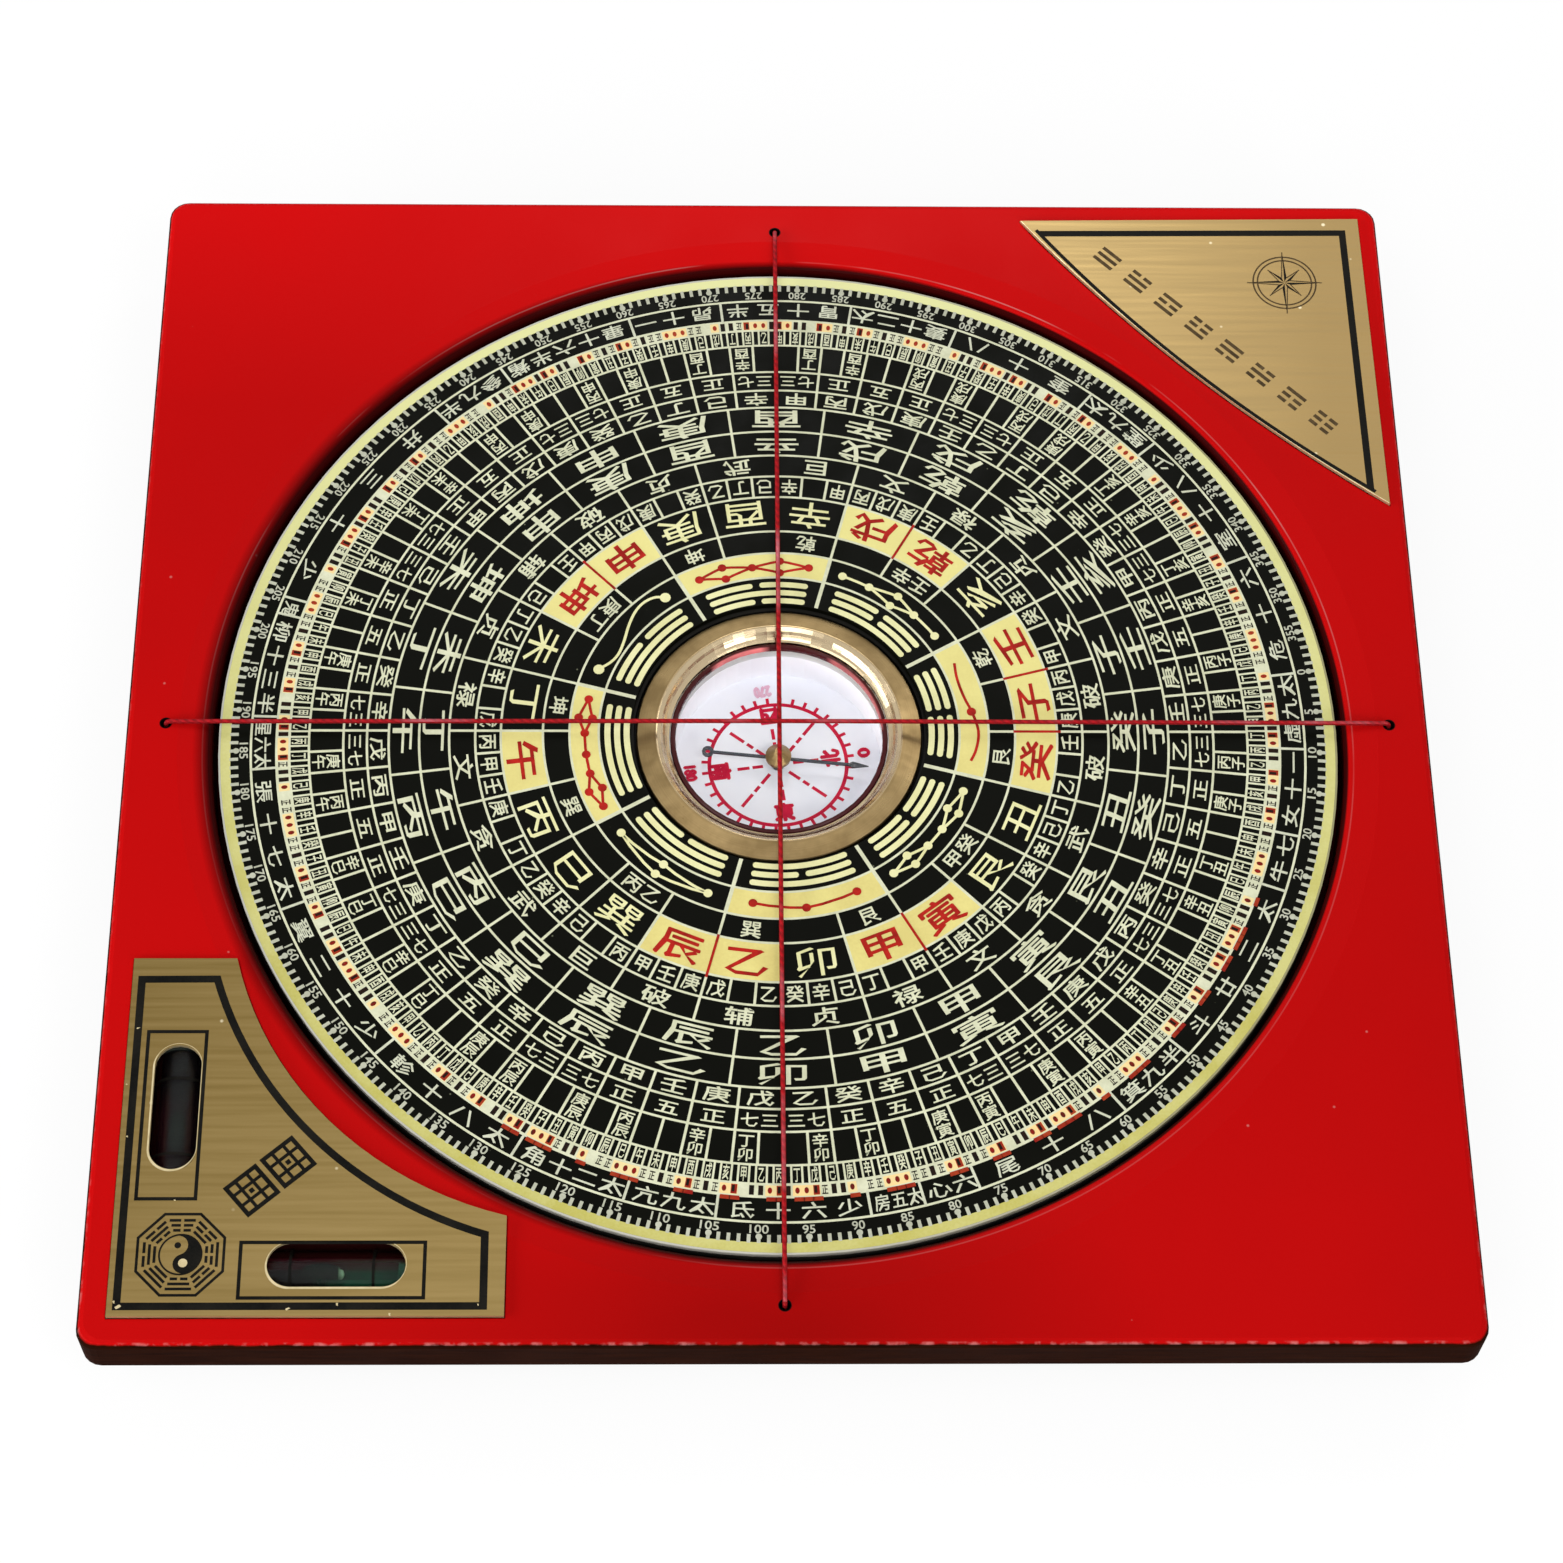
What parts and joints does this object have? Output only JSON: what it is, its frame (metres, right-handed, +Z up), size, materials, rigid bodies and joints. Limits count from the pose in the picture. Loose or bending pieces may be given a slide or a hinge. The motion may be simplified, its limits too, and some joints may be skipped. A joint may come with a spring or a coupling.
{
  "type": "feng shui compass",
  "caption": "Square red lacquered compass board with a turning ring dial, sunk magnetic needle capsule, corner brass plates, spirit levels and crossed sighting threads.",
  "frame": {"origin": "centre of the board's flat underside, where it rests on a table", "axes": "+Z up out of the dial, +X to the reader's right, +Y away from the reader, both square to the board's sides"},
  "size_m": [0.1686, 0.1686, 0.0171],
  "materials": {
    "red_lacquer": "glossy red lacquer over wood",
    "black_bakelite": "moulded black bakelite",
    "dial_print": "black enamel printed in pale yellow and red",
    "brushed_gold": "brushed gold-coloured sheet",
    "bright_brass": "turned bright brass",
    "dark_red_ring": "dark red translucent plastic",
    "clear_glass": "polished flat glass",
    "white_cup": "white moulded plastic",
    "white_card": "white printed card",
    "pin_steel": "polished steel",
    "black_steel": "blackened steel",
    "jewel_red": "polished jewel",
    "clear_acrylic": "clear moulded acrylic",
    "white_plug": "white plastic plug",
    "level_liquid": "green liquid",
    "air_bubble": "air",
    "red_thread": "waxed red thread"
  },
  "bodies": {
    "board": {"base_board": "red_lacquer", "corner_plate_level": "brushed_gold", "corner_plate_blank": "brushed_gold", "front_vial_tube": "clear_acrylic", "front_vial_plug": "white_plug", "front_vial_liquid": "level_liquid", "side_vial_tube": "clear_acrylic", "side_vial_plug": "white_plug", "side_vial_liquid": "level_liquid", "thread_east_west": "red_thread", "thread_north_south": "red_thread"},
    "dial": {"dial_plate": "black_bakelite", "dial_face": "dial_print", "bezel_ring": "bright_brass", "glass_ring": "dark_red_ring", "compass_glass": "clear_glass", "compass_cup": "white_cup", "compass_card": "white_card", "pivot_pin": "pin_steel"},
    "needle": {"needle_blade": "black_steel", "needle_cap": "bright_brass", "needle_jewel": "jewel_red"},
    "front_level_bubble": {"front_bubble": "air_bubble"},
    "side_level_bubble": {"side_bubble": "air_bubble"}
  },
  "joints": [
    {"name": "dial_turn", "type": "hinge", "parent": "board", "child": "dial", "pos_m": [0, 0, 0.0099], "axis": [0, 0, 1], "continuous": true},
    {"name": "needle_swing", "type": "hinge", "parent": "dial", "child": "needle", "pos_m": [0, 0, 0.0082], "axis": [0, 0, 1], "continuous": true},
    {"name": "front_bubble_slide", "type": "slide", "parent": "board", "child": "front_level_bubble", "axis": [1, 0, 0], "range_m": [-0.0037, 0.0063]},
    {"name": "side_bubble_slide", "type": "slide", "parent": "board", "child": "side_level_bubble", "axis": [0, 1, 0], "range_m": [-0.0037, 0.0063]}
  ]
}
